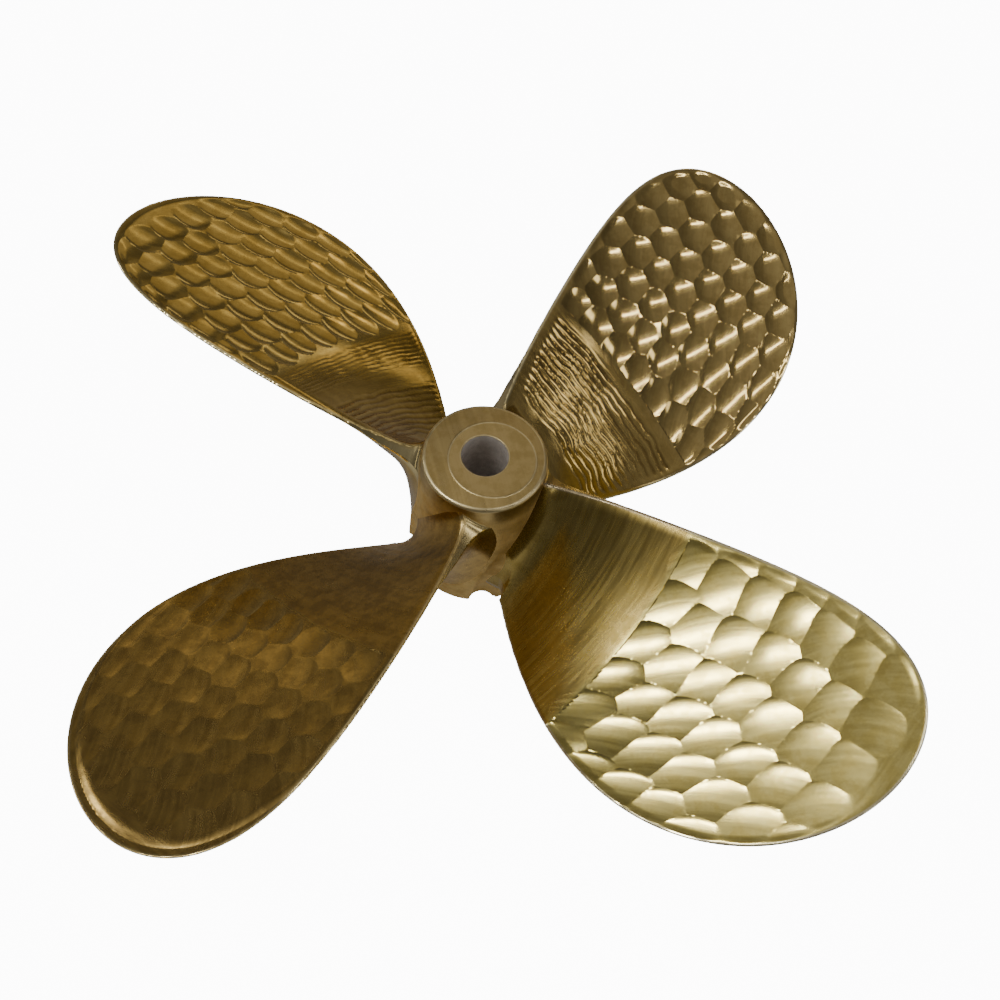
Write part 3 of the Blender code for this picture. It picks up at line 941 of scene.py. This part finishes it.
def make_bronze(name, look, mottling, marks):
    """Bare bronze: mottled colour, worn rims, darker furrows, fine grinding marks, and a tint of painted
    light and shade over the root zone.
    """
    made, tree, shader = new_material(name)
    place = add_node(tree, "ShaderNodeTexCoord", {}).outputs["Object"]
    masks = {mask: add_node(tree, "ShaderNodeAttribute", {}, attribute_name=mask).outputs
             for mask in ("grain", "rim", "root", "furrowed")}
    scratched = add_node(tree, "ShaderNodeGroup", {}, node_tree=marks)
    supply(tree, scratched, {"Vector": masks["grain"]["Vector"], "Fineness": look.fineness,
                             "Length": look.length})
    streak = scratched.outputs["Streak"]
    mottled = add_node(tree, "ShaderNodeGroup", {}, node_tree=mottling)
    supply(tree, mottled, {"Vector": place, "Tone": (*look.tone, 1.0),
                           "Deep Tone": (*look.deep_tone, 1.0), "Worn Tone": (*look.worn_tone, 1.0),
                           "Scale": look.scale, "Amount": look.patchiness, "Roughness": look.roughness,
                           "Wear": masks["rim"]["Fac"], "Streak": streak})
    # Painted light and shade: the root zone's colour is multiplied by a tint. It is darker on most blades'
    # roots beside the hub, and brighter than bare metal on the hub's side.
    colour = blend_colours(tree, masks["root"]["Fac"], mottled.outputs["Colour"], (*look.root_tint, 1.0),
                           "MULTIPLY")
    dark = calculate(tree, "MULTIPLY", masks["furrowed"]["Fac"], FURROW_DARKENS)
    colour = blend_colours(tree, dark, colour, FURROW_TINT, "MULTIPLY")
    lines = calculate(tree, "MULTIPLY", streak, SCRATCH_DARKENS)
    colour = blend_colours(tree, lines, colour, SCRATCH_TINT, "MULTIPLY")
    rougher = calculate(tree, "MULTIPLY", masks["root"]["Fac"], look.root_roughness / look.roughness - 1.0)
    rougher = calculate(tree, "ADD", rougher, 1.0)
    rough = calculate(tree, "MULTIPLY", rougher, mottled.outputs["Roughness"])
    bump = add_node(tree, "ShaderNodeBump", {"Distance": look.scratch_depth,
                                             "Height": scratched.outputs["Height"]})
    supply(tree, shader, {"Base Color": colour, "Roughness": rough, "Normal": bump.outputs["Normal"],
                          "Metallic": 1.0})
    lay_out(tree)
    return made


# The hub's root tint, above one, paints light onto the hub's side, brighter than the metal can reflect.
HUB_LOOK = Look(tone=(0.60, 0.44, 0.18), deep_tone=(0.48, 0.34, 0.12), worn_tone=(0.76, 0.62, 0.33),
                root_tint=(1.40, 1.42, 1.45), roughness=0.38, root_roughness=0.68, patchiness=0.6,
                scale=85.0, length=60.0, scratch_depth=0.000005)


def make_bore_metal(mottling):
    """The bore's dull grey wall."""
    made, tree, shader = new_material("bore_metal")
    place = add_node(tree, "ShaderNodeTexCoord", {}).outputs["Object"]
    mottled = add_node(tree, "ShaderNodeGroup", {}, node_tree=mottling)
    supply(tree, mottled, {"Vector": place, "Tone": (0.62, 0.56, 0.50, 1.0),
                           "Deep Tone": (0.48, 0.43, 0.38, 1.0), "Roughness": 0.55, "Scale": 120.0})
    supply(tree, shader, {"Base Color": mottled.outputs["Colour"],
                          "Roughness": mottled.outputs["Roughness"]})
    lay_out(tree)
    return made


# Floor, lights and camera

CAMERA_AZIMUTH = math.radians(-4.30)
CAMERA_ELEVATION = math.radians(59.9)
CAMERA_DISTANCE = 1.000
CAMERA_LENS = 41.46
SENSOR_WIDTH = 36.0
CAMERA_YAW = math.radians(1.01)
CAMERA_PITCH = math.radians(0.14)
CAMERA_ROLL = math.radians(6.99)


def build_camera():
    """The photograph's viewpoint: above and in front of the propeller, a little tilted."""
    data = bpy.data.cameras.new("photograph_view")
    data.lens = CAMERA_LENS
    data.sensor_width = SENSOR_WIDTH
    camera = add_object("photograph_view", data)
    swing = Matrix.Rotation(CAMERA_AZIMUTH, 4, "Z")
    aim = Matrix.Rotation(QUARTER_TURN - CAMERA_ELEVATION, 4, "X")
    trim = (Matrix.Rotation(-CAMERA_YAW, 4, "Y") @ Matrix.Rotation(CAMERA_PITCH, 4, "X")
            @ Matrix.Rotation(CAMERA_ROLL, 4, "Z"))
    back = Vector((0.0, -math.cos(CAMERA_ELEVATION), math.sin(CAMERA_ELEVATION))) * CAMERA_DISTANCE
    place = Matrix.Translation(Vector((0.0, 0.0, BLADE_PLANE)) + (swing @ back))
    camera.matrix_world = place @ swing @ aim @ trim
    bpy.context.scene.camera = camera


Panel = namedtuple("Panel", "name direction long_axis distance size radiance tint")

WHITE = (1.0, 1.0, 1.0)
WARM = (1.0, 0.84, 0.56)
AMBER = (1.0, 0.92, 0.74)

# Soft boxes round the propeller. X runs to the right of the camera, Y away from it and Z up.
PANELS = (
    Panel("left_strip", (-0.50, -0.13, 0.857), (0.857, 0.0, 0.50), 2.2, (1.05, 0.17), 22.0, WHITE),
    Panel("left_box", (-0.46, -0.12, 0.88), (0.88, 0.0, 0.46), 2.6, (1.55, 1.30), 0.36, WHITE),
    Panel("left_low_strip", (-0.88, -0.12, 0.46), (0.0, -0.93, -0.36), 2.6, (1.70, 0.07), 2.0, AMBER),
    Panel("right_strip", (0.42, -0.05, 0.905), (0.88, 0.48, -0.35), 2.2, (1.30, 0.05), 12.0, WHITE),
    Panel("right_glow", (0.42, -0.05, 0.905), (0.88, 0.48, -0.35), 2.4, (1.50, 0.42), 0.20, WHITE),
    Panel("right_comb_1", (0.52, -0.68, 0.50), (-0.60, 0.10, 0.79), 2.6, (1.00, 0.26), 1.8, WHITE),
    Panel("right_comb_2", (0.78, -0.36, 0.48), (-0.60, 0.10, 0.79), 2.6, (1.10, 0.26), 2.2, WHITE),
    Panel("right_comb_3", (0.90, -0.02, 0.43), (-0.50, 0.10, 0.79), 2.6, (1.50, 0.26), 3.0, WHITE),
    Panel("far_low_strip", (0.35, 0.92, 0.20), (0.93, -0.35, 0.0), 3.0, (2.40, 0.16), 1.3, AMBER),
    Panel("far_box", (0.20, 0.83, 0.52), (1.0, -0.2, 0.0), 3.0, (1.50, 1.10), 0.26, WARM),
    Panel("far_middle_strip", (0.22, 0.79, 0.57), (1.0, -0.2, 0.0), 2.9, (1.50, 0.12), 0.80, AMBER),
    Panel("far_right_strip", (0.46, 0.72, 0.52), (-0.5, 0.1, 0.86), 3.0, (0.70, 0.22), 1.6, WARM),
    Panel("far_left_box", (-0.80, 0.28, 0.53), (0.5, 0.8, 0.0), 2.4, (0.40, 0.36), 6.0, WHITE),
    Panel("far_left_strip", (-0.43, 0.86, 0.27), (0.84, 0.45, 0.0), 2.9, (1.20, 0.22), 0.50, WARM),
    Panel("far_left_wall", (-0.45, 0.84, 0.30), (0.84, 0.45, 0.0), 3.0, (2.20, 1.30), 0.08, WARM),
    Panel("top_box", (0.0, 0.53, 0.85), (1.0, 0.0, 0.0), 2.6, (1.30, 0.80), 0.30, WHITE),
)


def build_light(panel):
    """A soft panel of light that faces the propeller, and that the camera doesn't see."""
    data = bpy.data.lights.new(panel.name, "AREA")
    data.shape = "RECTANGLE"
    data.size, data.size_y = panel.size
    data.energy = panel.radiance * math.pi * panel.size[0] * panel.size[1]
    data.color = panel.tint
    light = add_object(panel.name, data)
    light.visible_camera = False
    swing = Matrix.Rotation(CAMERA_AZIMUTH, 3, "Z")
    facing = (swing @ Vector(panel.direction)).normalized()
    side = swing @ Vector(panel.long_axis)
    side = (side - facing * side.dot(facing)).normalized()
    turn = Matrix((side, facing.cross(side), facing)).transposed().to_4x4()
    light.matrix_world = Matrix.Translation(facing * panel.distance + Vector((0.0, 0.0, BLADE_PLANE))) @ turn


FLOOR_GLOW = 0.30  # what the floor just in front gives to the bronze's underside
FLOOR_LIFT = 12.0  # light that only the camera sees, which keeps the floor pale
FLOOR_REACH = 5.0
FLOOR_HEIGHT = -0.0006  # just under the hub's forward face
GLOW_CENTRE = 0.35  # share of the glow beside the hub, and its gain with each metre ahead
GLOW_GAIN = -5.0
GLOW_FADE = (0.10, 0.80)  # distances from the shaft axis between which the glow dies out


def build_floor():
    """A pale floor under the propeller, with a faint glow of its own in front of the hub."""
    mesh = bpy.data.meshes.new("floor")
    corners = [(x * FLOOR_REACH, y * FLOOR_REACH, FLOOR_HEIGHT)
               for x, y in ((-1, -1), (1, -1), (1, 1), (-1, 1))]
    mesh.from_pydata(corners, [], [(0, 1, 2, 3)])
    floor = add_object("floor", mesh)
    made, tree, shader = new_material("pale_floor")
    seen = add_node(tree, "ShaderNodeLightPath", {}).outputs["Is Camera Ray"]
    place = add_node(tree, "ShaderNodeTexCoord", {}).outputs["Object"]
    split = add_node(tree, "ShaderNodeSeparateXYZ", {"Vector": place})
    ahead = calculate(tree, "MULTIPLY", split.outputs["Y"], GLOW_GAIN)
    ahead = calculate(tree, "ADD", ahead, GLOW_CENTRE, clamp=True)
    away = add_node(tree, "ShaderNodeVectorMath", {0: place}, operation="LENGTH")
    far = stretch_range(tree, away.outputs["Value"], *GLOW_FADE)
    nearby = calculate(tree, "SUBTRACT", 1.0, far)
    glow = calculate(tree, "MULTIPLY", ahead, nearby)
    glow = calculate(tree, "MULTIPLY", glow, FLOOR_GLOW)
    lift = calculate(tree, "MULTIPLY", seen, FLOOR_LIFT)
    supply(tree, shader, {"Base Color": (0.40, 0.40, 0.39, 1.0), "Roughness": 0.8,
                          "Emission Color": (*WHITE, 1.0),
                          "Emission Strength": calculate(tree, "ADD", glow, lift)})
    lay_out(tree)
    mesh.materials.append(made)


# Height and brightness of each band of the surroundings, from the horizon at 0 to overhead at 1
SKY = ((0.0, 0.14), (0.20, 0.10), (0.50, 0.09), (0.75, 0.16), (0.95, 0.30), (1.0, 0.34))


def build_world():
    """Dim surroundings, a little lighter overhead, that look as pale as the floor to the camera."""
    world = bpy.data.worlds.new("studio")
    world.use_nodes = True
    bpy.context.scene.world = world
    tree = world.node_tree
    place = add_node(tree, "ShaderNodeTexCoord", {}).outputs["Generated"]
    split = add_node(tree, "ShaderNodeSeparateXYZ", {"Vector": place})
    shades = add_node(tree, "ShaderNodeValToRGB", {"Fac": split.outputs["Z"]})
    steps = shades.color_ramp.elements
    while len(steps) < len(SKY):
        steps.new(0.5)
    for step, (height, brightness) in zip(steps, SKY):
        step.position = height
        step.color = (brightness, brightness * 0.98, brightness * 0.95, 1.0)
    seen = add_node(tree, "ShaderNodeLightPath", {}).outputs["Is Camera Ray"]
    colour = blend_colours(tree, seen, shades.outputs["Color"], (FLOOR_LIFT, FLOOR_LIFT, FLOOR_LIFT, 1.0))
    supply(tree, tree.nodes["Background"], {"Color": colour})
    lay_out(tree)


def main():
    build_camera()
    build_floor()
    build_world()
    for panel in PANELS:
        build_light(panel)
    grid = BladeGrid()
    mottling = make_mottling()
    marks = make_marks()
    for index, finish in enumerate(FINISHES):
        bronze = make_bronze("bronze_" + finish.name, finish.look, mottling, marks)
        blade = build_blade(grid, finish, index, bronze)
        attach(blade, "root")
    hub = build_hub(make_bronze("bronze_hub", HUB_LOOK, mottling, marks), make_bore_metal(mottling))
    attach(hub, "root")
    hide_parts("propeller_casting")


main()
